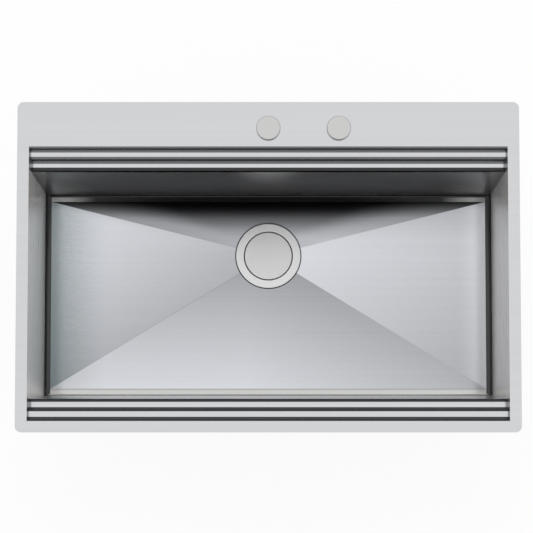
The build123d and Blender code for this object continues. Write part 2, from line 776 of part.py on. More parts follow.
housing_r = 24.0
housing_wall = 2.0
housing_depth = 28.0
housing_top_z = neck_end_z + 1.0
housing_bottom_z = housing_top_z - housing_depth
drum_r = housing_r - housing_wall - 4.0
drum_top_z = housing_top_z - 8.0
drum_height = 14.0
with BuildPart() as control_spindle:
    with Locations((control_x, tap_hole_y, drum_top_z - drum_height - 2)):
        Cylinder(spindle_r, knob_top_z - 2.5 - drum_top_z + drum_height + 2,
                 align=(Align.CENTER, Align.CENTER, Align.MIN))
    chamfer(control_spindle.edges().filter_by(GeomType.CIRCLE), 0.5)
control_spindle.part.label = "control_spindle"
export_step(control_spindle.part, "parts/control_spindle.step")

with BuildPart() as cable_drum:
    with BuildSketch(control_plane):
        with BuildLine():
            Polyline(
                (spindle_r, drum_top_z),
                (drum_r, drum_top_z),
                (drum_r, drum_top_z - 4),
                (drum_r - 3, drum_top_z - 6),
                (drum_r - 3, drum_top_z - 8),
                (drum_r, drum_top_z - 10),
                (drum_r, drum_top_z - drum_height),
                (spindle_r, drum_top_z - drum_height),
                close=True,
            )
        make_face()
    revolve(axis=control_axis)
cable_drum.part.label = "cable_drum"
export_step(cable_drum.part, "parts/cable_drum.step")

# Control housing: a moulded pot screwed to the neck, with a cable outlet and three screw lugs
lug_circle_r = housing_r + 2.5
lug_r = 4.0
lug_height = 10.0
housing_screw_r = 1.4
housing_screw_length = 9.0
collar_wall = 2.9
collar_height = 8.0
outlet_z = drum_top_z - 7.0
with BuildPart() as control_housing:
    with BuildSketch(control_plane):
        with BuildLine():
            Polyline(
                (neck_r + easy_clearance, housing_top_z + collar_height),
                (neck_r + easy_clearance + collar_wall, housing_top_z + collar_height),
                (neck_r + easy_clearance + collar_wall, housing_top_z),
                (housing_r, housing_top_z),
                (housing_r, housing_bottom_z),
                (housing_r - housing_wall, housing_bottom_z),
                (housing_r - housing_wall, housing_top_z - housing_wall),
                (neck_r + easy_clearance, housing_top_z - housing_wall),
                close=True,
            )
        make_face()
    revolve(axis=control_axis)
    with Locations((control_x, tap_hole_y, housing_bottom_z)):
        with PolarLocations(lug_circle_r, 3, start_angle=30):
            Cylinder(lug_r, lug_height, align=(Align.CENTER, Align.CENTER, Align.MIN))
    with BuildSketch(Plane.XZ.offset(-tap_hole_y + housing_r - 8)):
        with Locations((control_x + drum_r - 3, outlet_z)):
            Circle(4.0)
    extrude(amount=18)
    with BuildSketch(Plane.XZ.offset(-tap_hole_y)):
        with Locations((control_x + drum_r - 3, outlet_z)):
            Circle(1.5)
    extrude(amount=2 * housing_r, mode=Mode.SUBTRACT)
    with Locations((control_x, tap_hole_y, housing_bottom_z - 1)):
        Cylinder(housing_r - housing_wall, housing_top_z - housing_bottom_z - housing_wall + 1,
                 align=(Align.CENTER, Align.CENTER, Align.MIN), mode=Mode.SUBTRACT)
        with PolarLocations(lug_circle_r, 3, start_angle=30):
            Cylinder(
                housing_screw_r + 0.2,
                housing_screw_length,
                align=(Align.CENTER, Align.CENTER, Align.MIN),
                mode=Mode.SUBTRACT,
            )
control_housing.part.label = "control_housing"
export_step(control_housing.part, "parts/control_housing.step")

with BuildPart() as housing_cover:
    with BuildSketch(Plane.XY.offset(housing_bottom_z - housing_wall)):
        with Locations((control_x, tap_hole_y)):
            Circle(housing_r)
            with PolarLocations(lug_circle_r, 3, start_angle=30):
                Circle(lug_r)
            with PolarLocations(lug_circle_r, 3, start_angle=30):
                Circle(housing_screw_r + 0.2, mode=Mode.SUBTRACT)
    extrude(amount=housing_wall)
housing_cover.part.label = "housing_cover"
export_step(housing_cover.part, "parts/housing_cover.step")

with BuildPart() as housing_screws:
    with Locations((control_x, tap_hole_y, housing_bottom_z - housing_wall)):
        with PolarLocations(lug_circle_r, 3, start_angle=30):
            Cylinder(housing_screw_r, housing_screw_length, align=(Align.CENTER, Align.CENTER, Align.MIN))
            Cylinder(2.8, 2.0, align=(Align.CENTER, Align.CENTER, Align.MAX))
housing_screws.part.label = "housing_screws"
export_step(housing_screws.part, "parts/housing_screws.step")

# Tap hole cap: the same disc on the middle hole, held by a stud, a bridge and a wing nut
stud_r = 3.0
stud_length = 30.0
seal_r = cap_r - 2.5
cap_plane = Plane(origin=(0, tap_hole_y, 0), x_dir=(1, 0, 0), z_dir=(0, -1, 0))
cap_axis = Axis((0, tap_hole_y, 0), (0, 0, 1))
with BuildPart() as tap_hole_cap:
    with BuildSketch(cap_plane):
        with BuildLine():
            FilletPolyline(
                (0, knob_top_z),
                (cap_r, knob_top_z),
                (cap_r, knob_under_z),
                (seal_r + 0.8, knob_under_z),
                (seal_r + 0.8, deck_top + 2.0),
                (stud_r, deck_top + 2.0),
                (stud_r, plate_under_z - stud_length),
                (0, plate_under_z - stud_length),
                radius=(0, cap_edge_r, 0.3, 0, 0, 0, 0.5, 0),
                close=True,
            )
        make_face()
    revolve(axis=cap_axis)
tap_hole_cap.part.label = "tap_hole_cap"
export_step(tap_hole_cap.part, "parts/tap_hole_cap.step")

with BuildPart() as cap_seal:
    with BuildSketch(Plane.XY.offset(deck_top)):
        with Locations((0, tap_hole_y)):
            Circle(seal_r)
            Circle(stud_r + 3, mode=Mode.SUBTRACT)
    extrude(amount=2.0)
cap_seal.part.label = "cap_seal"
export_step(cap_seal.part, "parts/cap_seal.step")

bridge_thickness = 2.5
with BuildPart() as cap_bridge:
    with BuildSketch(Plane.XY.offset(plate_under_z - bridge_thickness)):
        with Locations((0, tap_hole_y)):
            SlotOverall(2 * tap_hole_r + 12, 15)
            Circle(stud_r + easy_clearance, mode=Mode.SUBTRACT)
    extrude(amount=bridge_thickness)
cap_bridge.part.label = "cap_bridge"
export_step(cap_bridge.part, "parts/cap_bridge.step")

with BuildPart() as cap_wing_nut:
    with Locations((0, tap_hole_y, plate_under_z - bridge_thickness)):
        Cylinder(6.0, 7.0, align=(Align.CENTER, Align.CENTER, Align.MAX))
    with BuildSketch(Plane.XZ.offset(-tap_hole_y - 1.2)):
        for side in (1, -1):
            with BuildLine():
                FilletPolyline(
                    (side * 4.5, plate_under_z - bridge_thickness - 1.5),
                    (side * 8, plate_under_z - bridge_thickness - 2),
                    (side * 14, plate_under_z - bridge_thickness - 9),
                    (side * 10, plate_under_z - bridge_thickness - 13),
                    (side * 4.5, plate_under_z - bridge_thickness - 6.5),
                    radius=(0, 2, 2.2, 2.2, 0),
                    close=True,
                )
            make_face()
    extrude(amount=2.4)
    with Locations((0, tap_hole_y, plate_under_z)):
        Cylinder(stud_r + easy_clearance, 2 * stud_length, mode=Mode.SUBTRACT)
cap_wing_nut.part.label = "cap_wing_nut"
export_step(cap_wing_nut.part, "parts/cap_wing_nut.step")
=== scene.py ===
# %% [markdown]
# # A stainless steel kitchen sink, dressed for its picture
# The solids of this sink are already right: folded sheet, welded end walls, a basket waste below. What is
# left for Blender is the finish of each metal, rubber and plastic piece, the screw threads that the
# solids leave plain, and a studio that lets steel look like steel. Everything keeps the frame of the
# solids: metres, +Z up, +Y to the tap ledge, and z = 0 on the worktop.

import json
import math
from types import SimpleNamespace

import bpy
import numpy as np
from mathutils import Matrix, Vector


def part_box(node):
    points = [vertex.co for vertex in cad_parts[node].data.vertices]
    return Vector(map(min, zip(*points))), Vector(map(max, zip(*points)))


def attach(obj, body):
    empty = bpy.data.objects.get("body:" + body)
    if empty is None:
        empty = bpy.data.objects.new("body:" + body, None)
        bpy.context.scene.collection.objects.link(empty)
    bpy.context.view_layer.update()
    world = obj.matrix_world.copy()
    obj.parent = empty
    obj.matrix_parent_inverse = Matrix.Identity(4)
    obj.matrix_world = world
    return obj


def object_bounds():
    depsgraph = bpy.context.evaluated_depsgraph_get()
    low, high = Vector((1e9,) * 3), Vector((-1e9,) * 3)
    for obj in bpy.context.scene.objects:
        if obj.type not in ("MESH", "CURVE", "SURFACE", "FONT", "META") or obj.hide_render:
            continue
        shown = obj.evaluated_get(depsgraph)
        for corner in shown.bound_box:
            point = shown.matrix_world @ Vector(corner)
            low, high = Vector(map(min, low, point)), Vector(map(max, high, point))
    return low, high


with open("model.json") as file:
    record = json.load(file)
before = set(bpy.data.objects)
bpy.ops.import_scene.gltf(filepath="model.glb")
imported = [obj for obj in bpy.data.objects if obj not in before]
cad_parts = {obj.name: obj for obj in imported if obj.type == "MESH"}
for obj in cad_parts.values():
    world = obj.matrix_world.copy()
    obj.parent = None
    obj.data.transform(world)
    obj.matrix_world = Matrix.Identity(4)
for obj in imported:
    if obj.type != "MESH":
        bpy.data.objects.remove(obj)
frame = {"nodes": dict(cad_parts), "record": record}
nodes = frame["nodes"]
cad_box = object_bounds()
print("CAD nodes:", len(nodes), "box:", [[round(c, 4) for c in corner] for corner in cad_box])

# %% [markdown]
# ## Numbers that live on a surface
# A shader is arithmetic on values that change from point to point, so it reads best as arithmetic. One
# could wire Math nodes together by hand, but then the formula is lost in the wires. `Num` wraps one
# output socket instead. Adding, multiplying or raising it to a power puts a Math node into the tree and
# gives back a new `Num`.


# %% Shader arithmetic
class Num:
    """A value that varies over a surface. Python's operators on it add Math nodes to its tree."""

    def __init__(self, tree, socket):
        self.tree = tree
        self.socket = socket

    def math(self, operation, *values, clamp=False):
        """The result of a Math node with these values, numbers or Nums, held to 0..1 if clamp is set."""
        settings = {"operation": operation, "use_clamp": clamp}
        return self.tree.node("ShaderNodeMath", settings, dict(enumerate(values)))

    def at_least(self, other):
        """The larger of this value and another."""
        return self.math("MAXIMUM", self, other)

    def at_most(self, other):
        """The smaller of this value and another."""
        return self.math("MINIMUM", self, other)

    def step(self, width):
        """0 where this value is below nothing and 1 above it, with a soft edge of this width."""
        return self.math("MULTIPLY_ADD", self, 1 / width, 0.5, clamp=True)

    def __add__(self, other):
        return self.math("ADD", self, other)

    def __sub__(self, other):
        return self.math("SUBTRACT", self, other)

    def __rsub__(self, other):
        return self.math("SUBTRACT", other, self)

    def __mul__(self, other):
        return self.math("MULTIPLY", self, other)

    def __truediv__(self, other):
        return self.math("DIVIDE", self, other)

    def __rtruediv__(self, other):
        return self.math("DIVIDE", other, self)

    def __pow__(self, power):
        return self.math("POWER", self, power)

    def __abs__(self):
        return self.math("ABSOLUTE", self)

    __radd__ = __add__
    __rmul__ = __mul__


print("operators on a surface:", "+ - * / ** abs")

# %% [markdown]
# ## Trees of nodes
# Materials and the world both keep their nodes in a tree. The editor makes each node by its own menu
# entry. Here one method makes any of them: it takes the node's type, then its settings, then what goes
# into its sockets.


# %% A tree of nodes
class Tree:
    """A node tree with one method that makes any node."""

    def __init__(self, tree):
        self.tree = tree

    def node(self, kind, settings=None, inputs=None, output=0):
        """Makes a node of this kind, applies its settings, then gives its sockets values or links."""
        made = self.tree.nodes.new(kind)
        for name, value in (settings or {}).items():
            setattr(made, name, value)
        for name, value in (inputs or {}).items():
            self.feed(made.inputs[name], value)
        return Num(self, made.outputs[output])

    def feed(self, socket, value):
        """Links a Num to the socket, or sets the socket's own value."""
        if isinstance(value, Num):
            self.tree.links.new(value.socket, socket)
        else:
            socket.default_value = value

    def outlets(self, made, *names):
        """Several outputs of the node behind a Num."""
        return [Num(self, made.socket.node.outputs[name]) for name in names]


print("one method for every node:", Tree.node.__name__)

# %% [markdown]
# ## A finish
# Every surface of the sink is a Principled shader with patterns round it. The patterns could come from
# pictures on a UV map, but nothing here needs drawing. They read Object coordinates, which are the sink's
# own metres, so a scratch has its real width and stays in place on every fold.


# %% A finish on Object coordinates
class Finish(Tree):
    """A procedural material on Object coordinates, built round one Principled shader."""

    def __init__(self, name):
        self.material = bpy.data.materials.new(name)
        self.material.use_nodes = True
        super().__init__(self.material.node_tree)
        self.shader = self.tree.nodes["Principled BSDF"]

    def set(self, **values):
        """Sets or links the shader's sockets; an underscore stands for the space in a socket's name."""
        for name, value in values.items():
            self.feed(self.shader.inputs[name.replace("_", " ")], value)

    def place(self, scale=(1, 1, 1), middle=(0, 0, 0)):
        """Object coordinates measured from a middle point and stretched by a scale on each axis."""
        start = [-m * s for m, s in zip(middle, scale)]
        point = self.node("ShaderNodeTexCoord", output="Object")
        return self.node("ShaderNodeMapping", inputs={"Vector": point, "Location": start, "Scale": scale})

    def axes(self, point):
        """The x, y and z of a point as three Nums."""
        return self.outlets(self.node("ShaderNodeSeparateXYZ", inputs={"Vector": point}), "X", "Y", "Z")

    def noise(self, point, scale=1.0, detail=2.0):
        """Soft noise between 0 and 1 at a point."""
        return self.node("ShaderNodeTexNoise", inputs={"Vector": point, "Scale": scale, "Detail": detail})

    def tint(self, amount, dark, light):
        """A colour between dark and light, each a triple or a Num, by an amount between 0 and 1."""
        dark, light = [c if isinstance(c, Num) else (*c, 1) for c in (dark, light)]
        return self.node("ShaderNodeMix", {"data_type": "RGBA"}, {0: amount, 6: dark, 7: light}, output=2)

    def bump(self, height, depth):
        """Lets a height between 0 and 1 tilt the surface as if it stood this many metres proud."""
        normal = self.node("ShaderNodeBump", inputs={"Height": height, "Distance": depth, "Strength": 1.0})
        self.set(Normal=normal)

    def surface(self, shader):
        """Puts a shader of this tree in front of the Principled one."""
        self.feed(self.tree.nodes["Material Output"].inputs["Surface"], shader)


print("a finish can:", [name for name in vars(Finish) if not name.startswith("_")])

# %% [markdown]
# ## Brushed sheet
# Kitchen sheet steel gets its satin from an abrasive belt that runs along the coil. The scratches are a
# fraction of a millimetre apart and centimetres long, so reflections smear across them and stay sharper
# along them. One could use the shader's anisotropy, but then the direction has to come from tangents.
# Stretched noise as bump gives the same smear on any fold of the sheet and bakes well. The deck and the
# bowl wrap are brushed along X, the end panels along Y.

# %% Brushed sheet steel
STEEL_DARK, STEEL_LIGHT = (0.60, 0.606, 0.618), (0.68, 0.686, 0.70)
ACROSS_GRAIN, ALONG_GRAIN = 2600.0, 9.0
STREAK_WIDTH, CLOUDS, FINE_DETAIL = 14, (9, 9, 9), 3.0
STREAK_SHARE, SCRATCH_SHARE, CLOUD_SHARE = 0.55, 0.3, 0.15
SCRATCH_GLOSS, CLOUD_GLOSS, SCRATCH_DEPTH = 0.05, 0.03, 0.3e-5
NOISE_MEAN = 0.5


def brushed_sheet(name, grain_axis, rough, metal=1.0):
    """Steel with long scratches: noise squeezed across the grain and drawn out along it."""
    finish = Finish(name)
    stretch = [ACROSS_GRAIN, ACROSS_GRAIN, ACROSS_GRAIN]
    stretch[grain_axis] = ALONG_GRAIN
    scratches = finish.noise(finish.place(stretch), detail=FINE_DETAIL)
    clouds = finish.noise(finish.place(CLOUDS), detail=FINE_DETAIL)
    finish.streaks = finish.noise(finish.place([s / STREAK_WIDTH for s in stretch]))
    amount = STREAK_SHARE * finish.streaks + SCRATCH_SHARE * scratches + CLOUD_SHARE * clouds
    finish.colour = finish.tint(amount, STEEL_DARK, STEEL_LIGHT)
    finish.gloss = SCRATCH_GLOSS * (scratches - NOISE_MEAN) + CLOUD_GLOSS * (clouds - NOISE_MEAN)
    finish.set(Base_Color=finish.colour, Metallic=metal, Roughness=rough + finish.gloss)
    finish.bump(scratches, SCRATCH_DEPTH)
    return finish


ALONG_X, ALONG_Y = 0, 1
DECK_ROUGH, WALL_ROUGH, FLOOR_ROUGH, END_ROUGH = 0.14, 0.3, 0.13, 0.28
BOWL_METAL = 0.97
deck_steel = brushed_sheet("brushed_deck", ALONG_X, DECK_ROUGH)
bowl_steel = brushed_sheet("brushed_bowl", ALONG_X, WALL_ROUGH, BOWL_METAL)
end_steel = brushed_sheet("brushed_end_walls", ALONG_Y, END_ROUGH)
print("brushed sheet:", deck_steel.material.name, bowl_steel.material.name, end_steel.material.name)

# %% [markdown]
# ## Where a point lies on the floor
# The floor falls in four flat facets to the waste, which part along sharp creases. A crease is where the
# fall from one side overtakes the fall from the next. With each fall written as a share, 0 at the waste
# and 1 at its wall, the larger share names the facet. Four separate materials would do it too, but the
# floor is one sheet and one mesh, so one material sorts its own points.

# %% Facets of the floor


def middle_of(name):
    """The middle of a CAD node's box."""
    low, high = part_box(name)
    return [(a + b) / 2 for a, b in zip(low, high)]


waste_x, waste_y = middle_of("strainer_cap")[:2]
END_BEND = 0.009
FLOOR_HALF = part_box("bowl_wrap")[1][0] - END_BEND
FLOOR_FRONT, FLOOR_REAR = -0.1849, 0.1324
CREASE_EDGE, MIDDLE_EDGE = 0.006, 0.01


def floor_spot(finish):
    """Where a point lies. Across goes from -1 at the left wall to 1 at the right one, and rearward and
    forward go from 0 at the waste to 1 at the edges of the facets. Each on_ value is 1 on its own side
    and 0 elsewhere."""
    spot = SimpleNamespace()
    x, spot.y, spot.z = finish.axes(finish.place())
    spot.across = x / FLOOR_HALF
    spot.sideways = abs(spot.across)
    spot.rearward = (spot.y - waste_y) / (FLOOR_REAR - waste_y)
    spot.forward = (waste_y - spot.y) / (waste_y - FLOOR_FRONT)
    ahead = spot.forward.step(MIDDLE_EDGE)
    spot.on_end = (spot.sideways - spot.rearward.at_least(spot.forward)).step(CREASE_EDGE)
    spot.on_front = ahead * (1 - spot.on_end)
    spot.on_rear = (1 - ahead) * (1 - spot.on_end)
    spot.on_right = spot.across.step(MIDDLE_EDGE)
    return spot


bowl_floor = floor_spot(bowl_steel)
print("facets from", FLOOR_FRONT, "to", FLOOR_REAR, "with the waste at", round(waste_y, 4))

# %% [markdown]
# ## The tone of each facet
# Each facet leans its own way, and its tone drifts from the waste to its wall as painted light and shade.
# Reflections alone make the facets differ less than that. A ramp picture per facet could hold the drift,
# but a straight line or a square in the shares is shorter and can be changed one number at a time. The
# left facet darkens in a band of painted shade along its wall, and short dashes of the belt break up that
# band's edge.

# %% Facet tones
# The numbers below set the painted light and shade of each facet.
LEFT_INNER, LEFT_RISE, LEFT_FRONT_FALL, LEFT_REAR_RISE = 0.68, 0.40, 0.38, 0.35
LEFT_EDGE_START, LEFT_EDGE_DASHES, LEFT_EDGE_FALL = 0.7, 0.13, 5.2
RIGHT_INNER, RIGHT_FALL, RIGHT_FRONT_FALL = 1.13, 0.28, 0.25
RIGHT_EDGE_START, RIGHT_EDGE_RISE = 0.85, 18
RIGHT_REAR_START, RIGHT_REAR_FALL = 0.3, 0.3
FRONT_INNER, FRONT_RISE = 0.50, 0.54
FRONT_RIGHT_START, FRONT_RIGHT_FALL, FRONT_LEFT_START, FRONT_LEFT_FALL = -0.1, 0.34, -0.75, 0.9
REAR_INNER, REAR_FALL, REAR_MIDDLE, REAR_TO_RIGHT = 1.05, 0.85, 0.716, 0.36
DASHES = (110, 1100, 1100)


def left_tone(spot):
    """Rises to the wall and to the rear, falls to the front and drops in the band of painted shade along the
    wall.
    """
    tone = (LEFT_INNER + LEFT_RISE * spot.sideways) * (1 - LEFT_FRONT_FALL * spot.forward.at_least(0.0))
    behind = spot.rearward.at_least(0.0) * (1 - spot.sideways)
    return tone - LEFT_EDGE_FALL * spot.left_edge + LEFT_REAR_RISE * behind


def right_tone(spot):
    """Falls to the wall, to the front and to the rear, and rises close to the wall."""
    tone = (RIGHT_INNER - RIGHT_FALL * spot.across) * (1 - RIGHT_FRONT_FALL * spot.forward.at_least(0.0))
    tone = tone + RIGHT_EDGE_RISE * (spot.across - RIGHT_EDGE_START).at_least(0.0) ** 2
    return tone - RIGHT_REAR_FALL * (spot.rearward - RIGHT_REAR_START).at_least(0.0)


def front_tone(spot):
    """Rises to the front and falls to the right, and to the left near the left corner."""
    tone = FRONT_INNER + FRONT_RISE * spot.forward
    tone = tone * (1 - FRONT_RIGHT_FALL * spot.across.at_least(FRONT_RIGHT_START))
    return tone - FRONT_LEFT_FALL * (FRONT_LEFT_START - spot.across).at_least(0.0)


def rear_tone(spot):
    """Falls to the rear, under a ceiling that rises from left to right."""
    return (REAR_INNER - REAR_FALL * spot.rearward).at_most(REAR_MIDDLE + REAR_TO_RIGHT * spot.across)


def add_tones(finish, spot):
    """Adds the belt's dashes, the painted shade along the left wall and each facet's painted light and
    shade.
    """
    spot.dashes = finish.noise(finish.place(DASHES)) - NOISE_MEAN
    spot.left_edge = (spot.sideways + LEFT_EDGE_DASHES * spot.dashes - LEFT_EDGE_START).at_least(0.0) ** 2
    end_tone = spot.on_right * right_tone(spot) + (1 - spot.on_right) * left_tone(spot)
    spot.tone = spot.on_end * end_tone + spot.on_front * front_tone(spot) + spot.on_rear * rear_tone(spot)


add_tones(bowl_steel, bowl_floor)
print("tones at waste: left", LEFT_INNER, "right", RIGHT_INNER, "front", FRONT_INNER, "rear", REAR_MIDDLE)

# %% [markdown]
# ## The colour of the floor
# A tone becomes a colour between a dark and a light steel, with the belt's streaks and dashes over it.
# The creases of the left facet show as thin dark lines of painted shade. In front a crease of painted
# shade and a flat pale border lie between the facet and the wall, and the rear facet darkens as painted
# shade into the narrow border at its foot, which is painted near black as shade and paler at its ends.
# Each is one more tint over the last, in the order in which they cover one another. A picture could hold
# all of this, but it would have to be drawn again for every change of size.

# %% Floor colour
FLOOR_DARK, FLOOR_LIGHT = (0.154, 0.162, 0.170), (0.693, 0.7075, 0.746)
DARK_TONE, LIGHT_TONE = 0.25, 1.1
FOLD_SHADE, STREAK_TONE, DASH_TONE = 0.7, 0.07, 0.06
# The green-grey colour of the painted shade in the band along the left wall.
LEFT_EDGE, LEFT_EDGE_SHARE = (0.30, 0.375, 0.385), 7.0
# The rear border and the foot of the rear facet are near black as painted shade.
FRONT_STRIP, REAR_STRIP_SHADE, REAR_FOOT_SHADE = (0.60, 0.60, 0.585), (0.05, 0.05, 0.05), (0.012, 0.012, 0.012)
CREASE_AHEAD, CREASE_HALF, CREASE_SHADE = 0.001, 0.0022, 0.45
FRONT_CREASE = FLOOR_FRONT - CREASE_AHEAD
REAR_FOOT_START, REAR_FOOT_SPAN = 0.70, 0.28
STRIP_END_START, STRIP_END_SPAN = 0.8, 0.2
BAND_EDGE = 0.0008


def facet_colour(finish, spot):
    """The colour of a facet by its tone, with painted shade on the left creases and a greenish one at the
    wall.
    """
    fold = FOLD_SHADE * spot.on_end * (1 - spot.on_end) * (1 - spot.on_right)
    share = (spot.tone - DARK_TONE - fold) / (LIGHT_TONE - DARK_TONE)
    share = share + STREAK_TONE * (finish.streaks - NOISE_MEAN) + DASH_TONE * spot.dashes
    colour = finish.tint(share, FLOOR_DARK, FLOOR_LIGHT)
    in_band = LEFT_EDGE_SHARE * (1 - spot.on_right) * spot.on_end * spot.left_edge
    return finish.tint(in_band, colour, LEFT_EDGE)


def with_borders(finish, spot, colour):
    """Adds the border and a crease of painted shade in front, then painted shade and a near black border
    behind, paler at its ends.
    """
    colour = finish.tint((FLOOR_FRONT - spot.y).step(BAND_EDGE), colour, FRONT_STRIP)
    crease = (1 - abs(spot.y - FRONT_CREASE) / CREASE_HALF).at_least(0.0)
    colour = finish.tint(CREASE_SHADE * crease, colour, FLOOR_DARK)
    foot = ((spot.rearward - REAR_FOOT_START) / REAR_FOOT_SPAN).at_least(0.0)
    colour = finish.tint(foot * spot.on_rear, colour, REAR_FOOT_SHADE)
    to_ends = ((spot.sideways - STRIP_END_START) / STRIP_END_SPAN).at_least(0.0)
    strip = finish.tint(to_ends, REAR_STRIP_SHADE, FRONT_STRIP)
    return finish.tint((spot.y - FLOOR_REAR).step(BAND_EDGE), colour, strip)


bowl_floor.colour = with_borders(bowl_steel, bowl_floor, facet_colour(bowl_steel, bowl_floor))
print("floor colours between", FLOOR_DARK, "and", FLOOR_LIGHT)

# %% [markdown]
# ## Floor, walls and ledges in one sheet
# The wrap is one sheet from ledge to ledge, but its stretches look differently brushed: the floor and the
# ledges finely, the walls more coarsely. Cutting the mesh up would part them, but height tells them apart
# just as well: one step on z gives the floor its colour, and two give each stretch its roughness.

# %% Floor and ledges by height
FLOOR_TOP, LEDGE_FOOT = -0.1966, -0.028
FINE_EDGE, SOFT_EDGE = 0.0004, 0.002
on_floor = (FLOOR_TOP - bowl_floor.z).step(FINE_EDGE)
on_ledges = (bowl_floor.z - LEDGE_FOOT).step(SOFT_EDGE)
bowl_steel.colour = bowl_steel.tint(on_floor, bowl_steel.colour, bowl_floor.colour)
bowl_rough = WALL_ROUGH + (FLOOR_ROUGH - WALL_ROUGH) * on_floor + (DECK_ROUGH - WALL_ROUGH) * on_ledges
bowl_steel.set(Roughness=bowl_rough + bowl_steel.gloss)
print("roughness: floor", FLOOR_ROUGH, "walls", WALL_ROUGH, "ledges", DECK_ROUGH)

# %% [markdown]
# ## Painted shade in the bends
# The tight bends and inside corners are darkened as painted shade. On the ledges those are the bends, and
# at the rear the risers between them too. A mask could be painted by hand, but a formula keeps to the side
# of the sheet that faces the bowl and moves with the sizes. The ledges are a staircase with rounded edges,
# so its depth at a point tells the upper side of the sheet from the lower one.

# %% Painted shade on the ledges
FRONT_BENDS = ((-0.2389, 0.0034), (-0.2235, 0.0034), (-0.2090, 0.0028))
REAR_BENDS = ((0.1855, 0.0038), (0.1704, 0.0046), (0.1564, 0.0036))
RISERS = (0.1804, 0.1967, 0.2121)
FRONT_ROUNDS, REAR_ROUNDS = (0.0045, 0.0032, 0.0032), (0.0065, 0.0054, 0.0032)
DECK_LEVEL, LEDGE_DROP, BEND_REACH = 0.0027, 0.012, 0.0022
LEDGE_MIDDLE, HALF_SHEET = -0.0262, 0.0006
# Strengths of the painted shade on the front bends, the rear bends and the rear brow.
FRONT_BEND_SHADE, REAR_BEND_SHADE, BROW_SHADE = 0.98, 0.8, 0.97
FOOT_EDGE = 0.001


def on_top(finish):
    """1 on the upper side of the ledges' sheet. A step is a corner rounded by a radius R, and a point
    that lies a behind its riser and b below its ledge is R - hypot(R - a, R - b) deep in it, where
    neither difference goes below nothing. The deepest of the three steps counts."""
    y, z = finish.axes(finish.place())[1:]
    out = abs(y - LEDGE_MIDDLE)
    behind = (y - LEDGE_MIDDLE).step(MIDDLE_EDGE)
    depths = []
    for count, (riser, front, rear) in enumerate(zip(RISERS, FRONT_ROUNDS, REAR_ROUNDS)):
        level = DECK_LEVEL + LEDGE_DROP * (count + 1 - len(RISERS))
        rounding = front + (rear - front) * behind
        a_side = (rounding + riser - out).at_least(0.0)
        b_side = (rounding - level + z).at_least(0.0)
        depths.append(rounding - (a_side * a_side + b_side * b_side) ** 0.5)
    return (HALF_SHEET - depths[0].at_least(depths[1]).at_least(depths[2])).step(FINE_EDGE)


def bands(y, bends):
    """1 within each of these bends, given as the middle and the half width of a band in y."""
    return [(half - abs(y - middle)).step(BAND_EDGE) for middle, half in bends]


def ledge_bends(finish):
    """How much painted shade the ledges' bends get. Each is a band in y. In front it also lies near the
    level of a ledge in z, and behind it takes in the whole riser."""
    y, z = finish.axes(finish.place())[1:]
    mask = on_top(finish) * (z - LEDGE_FOOT).step(FOOT_EDGE)
    from_level = z.math("PINGPONG", z - DECK_LEVEL, LEDGE_DROP / 2)
    in_bend = (BEND_REACH - from_level).step(BAND_EDGE)
    front = bands(y, FRONT_BENDS)
    rear = bands(y, REAR_BENDS)
    front_shade = FRONT_BEND_SHADE * front[0].at_least(front[1]).at_least(front[2])
    rear_shade = (REAR_BEND_SHADE * rear[0].at_least(rear[1])).at_least(BROW_SHADE * rear[2])
    return mask * (front_shade * in_bend + rear_shade)


ledge_shade = ledge_bends(bowl_steel)
# Prints how many front and rear bands get painted shade.
print("mill skin on", len(FRONT_BENDS), "front and", len(REAR_BENDS), "rear ledge bends")

# %% [markdown]
# ## The foot and corners of the rear wall
# The same painted shade lies in the tight bend between floor and rear wall, and fades out from the wall's
# two upright corners. The wall leans, so its inside is a plane whose y grows with z.
# One could darken each place by a tint of its own, but where two meet they would darken twice. So the
# largest of the three masks counts, and one tint pulls the colour down.

# %% Painted shade on the rear wall
# Near black: the colour of the painted shade in bends and corners.
PAINTED_SHADE_COLOUR = (0.03, 0.03, 0.031)
FLOOR_Z, REAR_FOOT, WALL_LEAN = -0.1973, 0.1434, math.radians(3.5)
FOOT_HEIGHT, FOOT_REACH, CORNER_REACH, CORNER_FADE = 0.004, 0.0035, 0.004, 0.016
# Strengths of the painted shade at the rear wall's foot and in its corners.
WALL_FOOT_SHADE, CORNER_SHADE = 0.97, 0.65
WIDE_EDGE = 0.004


def rear_foot(finish):
    """1 in the bend between the floor and the rear wall, on its upper side."""
    y, z = finish.axes(finish.place())[1:]
    low = (FLOOR_Z + FOOT_HEIGHT - z).step(FOOT_EDGE) * (z - FLOOR_Z + HALF_SHEET).step(FINE_EDGE)
    return low * (y - REAR_FOOT + FOOT_REACH).step(FOOT_EDGE) * (REAR_FOOT + HALF_SHEET - y).step(FINE_EDGE)


def rear_corners(finish):
    """Rises towards the two upright corners of the rear wall, on the side that faces the bowl."""
    x, y, z = finish.axes(finish.place())
    behind = y - REAR_FOOT - (z - FLOOR_Z) * math.tan(WALL_LEAN)
    on_inside = (HALF_SHEET - abs(behind)).step(FINE_EDGE) * (LEDGE_FOOT - z).step(WIDE_EDGE)
    return (abs(x) - FLOOR_HALF + CORNER_REACH).step(CORNER_FADE) * on_inside


def paint_shade(finish, mask):
    """Paints shade: pulls the finish's colour to near black by a mask, for its last link to the shader."""
    finish.set(Base_Color=finish.tint(mask, finish.colour, PAINTED_SHADE_COLOUR))


bowl_shade = ledge_shade.at_least(CORNER_SHADE * rear_corners(bowl_steel))
paint_shade(bowl_steel, bowl_shade.at_least(WALL_FOOT_SHADE * rear_foot(bowl_steel)))
# Prints the strengths of the painted shade at the rear foot and in the rear corners.
print("mill skin at the rear foot", WALL_FOOT_SHADE, "and in the rear corners", CORNER_SHADE)

